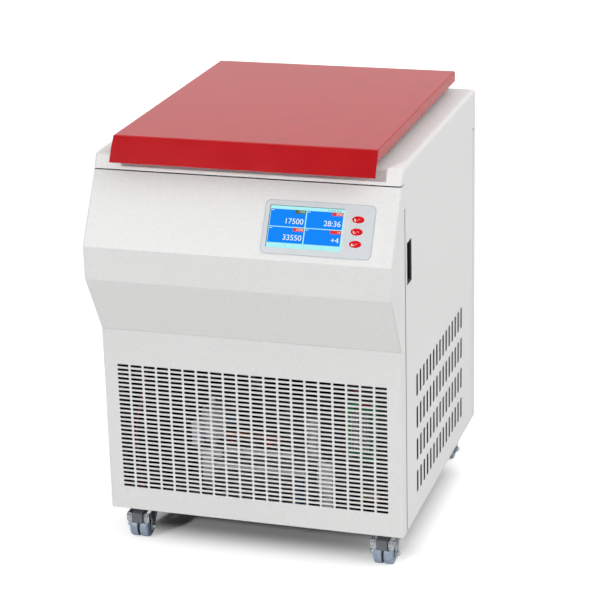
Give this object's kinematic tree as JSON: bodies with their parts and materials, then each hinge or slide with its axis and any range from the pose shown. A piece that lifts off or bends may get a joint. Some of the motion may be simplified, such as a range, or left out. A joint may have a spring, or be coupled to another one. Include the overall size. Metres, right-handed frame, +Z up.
{
  "type": "refrigerated centrifuge",
  "caption": "Floor-standing refrigerated centrifuge on twin-wheel castors: white sheet-steel cabinet with a leaning console, a punched grille and a hinged red lid over the rotor chamber.",
  "frame": {"origin": "on the floor under the middle of the machine", "axes": "+Z up, -Y out of the front, +X to the right of someone who faces the front"},
  "size_m": [0.66, 0.775, 0.926],
  "materials": {
    "white_enamel": "fine textured white powder coat",
    "red_enamel": "glossy red powder coat",
    "chassis_enamel": "semi-matt dark grey paint",
    "black_enamel": "satin black paint on a steel shell",
    "zinc_steel": "bright zinc plate",
    "stainless_steel": "brushed stainless steel",
    "steel_plate": "oiled dark steel plate",
    "aluminium_anodised": "clear anodised",
    "aluminium_fins": "bare mill finish",
    "copper_tube": "drawn copper tube",
    "spring_steel": "oil-tempered wire",
    "black_plastic": "moulded, fine texture",
    "grey_plastic": "moulded, matt",
    "liner_plastic": "vacuum-formed sheet, satin",
    "wheel_plastic": "moulded polyamide, light blue-grey",
    "overlay_film": "satin printed film on an aluminium backing",
    "key_plastic": "glossy red moulding with a white dot",
    "display_glass": "lit colour display behind glass",
    "circuit_board": "green solder mask",
    "drier_enamel": "smooth white paint",
    "foam": "rigid polyurethane foam",
    "rubber": "matt moulded rubber"
  },
  "bodies": {
    "cabinet": {"chassis": "chassis_enamel", "chamber_deck": "zinc_steel", "hinge_carrier": "zinc_steel", "lock_bracket": "zinc_steel", "drive_box": "zinc_steel", "top_cover": "white_enamel", "front_fascia": "white_enamel", "front_grille_panel": "white_enamel", "side_panel_left": "white_enamel", "side_panel_right": "white_enamel", "rear_panel": "white_enamel", "mains_inlet": "black_plastic", "switch_housing": "black_plastic", "fan_shroud": "black_plastic", "control_bezel": "overlay_film", "display_screen": "display_glass", "control_board": "circuit_board", "inverter_board": "circuit_board", "chamber_insulation": "foam", "motor_damper_1": "rubber", "motor_damper_2": "rubber", "motor_damper_3": "rubber", "hinge_shaft": "stainless_steel", "chamber_bowl": "stainless_steel", "hinge_spring_left": "spring_steel", "hinge_spring_right": "spring_steel", "evaporator_coil": "copper_tube", "suction_line": "copper_tube", "armour_ring": "steel_plate", "drive_motor": "black_enamel", "compressor": "black_enamel", "condenser": "aluminium_fins", "filter_drier": "drier_enamel"},
    "lid": {"lid_shell": "red_enamel", "lid_liner": "liner_plastic", "lid_insulation": "foam", "lid_seal": "rubber", "lid_striker_left": "zinc_steel", "lid_striker_right": "zinc_steel", "hinge_arm_left": "zinc_steel", "hinge_arm_right": "zinc_steel"},
    "rotor": {"drive_spindle": "stainless_steel", "rotor": "aluminium_anodised", "rotor_nut": "black_plastic"},
    "fan": {"fan": "black_plastic"},
    "key_upper": {"key_upper": "key_plastic"},
    "key_middle": {"key_middle": "key_plastic"},
    "key_lower": {"key_lower": "key_plastic"},
    "switch_rocker": {"switch_rocker": "black_plastic"},
    "lock_hooks": {"lock_hooks": "zinc_steel"},
    "castor_front_left_fork": {"castor_front_left_fork": "zinc_steel"},
    "castor_front_left_wheels": {"castor_front_left_wheels": "wheel_plastic"},
    "castor_front_left_brake": {"castor_front_left_brake": "grey_plastic"},
    "castor_front_right_fork": {"castor_front_right_fork": "zinc_steel"},
    "castor_front_right_wheels": {"castor_front_right_wheels": "wheel_plastic"},
    "castor_front_right_brake": {"castor_front_right_brake": "grey_plastic"},
    "castor_rear_left_fork": {"castor_rear_left_fork": "zinc_steel"},
    "castor_rear_left_wheels": {"castor_rear_left_wheels": "wheel_plastic"},
    "castor_rear_right_fork": {"castor_rear_right_fork": "zinc_steel"},
    "castor_rear_right_wheels": {"castor_rear_right_wheels": "wheel_plastic"}
  },
  "joints": [
    {"name": "lid_hinge", "type": "hinge", "parent": "cabinet", "child": "lid", "pos_m": [0, 0.3755, 0.896], "axis": [-1, 0, 0], "range_deg": [0, 75]},
    {"name": "rotor_spin", "type": "hinge", "parent": "cabinet", "child": "rotor", "pos_m": [0, 0.0325, 0.75], "axis": [0, 0, 1], "continuous": true},
    {"name": "fan_spin", "type": "hinge", "parent": "cabinet", "child": "fan", "pos_m": [0.01, -0.196, 0.1573], "axis": [0, 1, 0], "continuous": true},
    {"name": "key_upper_press", "type": "slide", "parent": "cabinet", "child": "key_upper", "axis": [0, 0.858, -0.5136], "range_m": [0, 0.0015], "stiffness_N_per_m": 400, "springref_m": -0.001},
    {"name": "key_middle_press", "type": "slide", "parent": "cabinet", "child": "key_middle", "axis": [0, 0.858, -0.5136], "range_m": [0, 0.0015], "stiffness_N_per_m": 400, "springref_m": -0.001},
    {"name": "key_lower_press", "type": "slide", "parent": "cabinet", "child": "key_lower", "axis": [0, 0.858, -0.5136], "range_m": [0, 0.0015], "stiffness_N_per_m": 400, "springref_m": -0.001},
    {"name": "mains_rocker", "type": "hinge", "parent": "cabinet", "child": "switch_rocker", "pos_m": [0.3142, -0.2445, 0.6775], "axis": [0, -1, 0], "range_deg": [0, 16]},
    {"name": "lid_lock", "type": "hinge", "parent": "cabinet", "child": "lock_hooks", "pos_m": [0, -0.2525, 0.828], "axis": [-1, 0, 0], "range_deg": [0, 16]},
    {"name": "castor_front_left_swivel", "type": "hinge", "parent": "cabinet", "child": "castor_front_left_fork", "pos_m": [-0.278, -0.2475, 0.08], "axis": [0, 0, 1], "continuous": true},
    {"name": "castor_front_left_roll", "type": "hinge", "parent": "castor_front_left_fork", "child": "castor_front_left_wheels", "pos_m": [-0.278, -0.2675, 0.025], "axis": [1, 0, 0], "continuous": true},
    {"name": "castor_front_left_brake_press", "type": "hinge", "parent": "castor_front_left_fork", "child": "castor_front_left_brake", "pos_m": [-0.278, -0.2515, 0.06], "axis": [1, 0, 0], "range_deg": [0, 10]},
    {"name": "castor_front_right_swivel", "type": "hinge", "parent": "cabinet", "child": "castor_front_right_fork", "pos_m": [0.278, -0.2475, 0.08], "axis": [0, 0, 1], "continuous": true},
    {"name": "castor_front_right_roll", "type": "hinge", "parent": "castor_front_right_fork", "child": "castor_front_right_wheels", "pos_m": [0.278, -0.2675, 0.025], "axis": [1, 0, 0], "continuous": true},
    {"name": "castor_front_right_brake_press", "type": "hinge", "parent": "castor_front_right_fork", "child": "castor_front_right_brake", "pos_m": [0.278, -0.2515, 0.06], "axis": [1, 0, 0], "range_deg": [0, 10]},
    {"name": "castor_rear_left_swivel", "type": "hinge", "parent": "cabinet", "child": "castor_rear_left_fork", "pos_m": [-0.278, 0.3225, 0.08], "axis": [0, 0, 1], "continuous": true},
    {"name": "castor_rear_left_roll", "type": "hinge", "parent": "castor_rear_left_fork", "child": "castor_rear_left_wheels", "pos_m": [-0.278, 0.3025, 0.025], "axis": [1, 0, 0], "continuous": true},
    {"name": "castor_rear_right_swivel", "type": "hinge", "parent": "cabinet", "child": "castor_rear_right_fork", "pos_m": [0.278, 0.3225, 0.08], "axis": [0, 0, 1], "continuous": true},
    {"name": "castor_rear_right_roll", "type": "hinge", "parent": "castor_rear_right_fork", "child": "castor_rear_right_wheels", "pos_m": [0.278, 0.3025, 0.025], "axis": [1, 0, 0], "continuous": true}
  ]
}
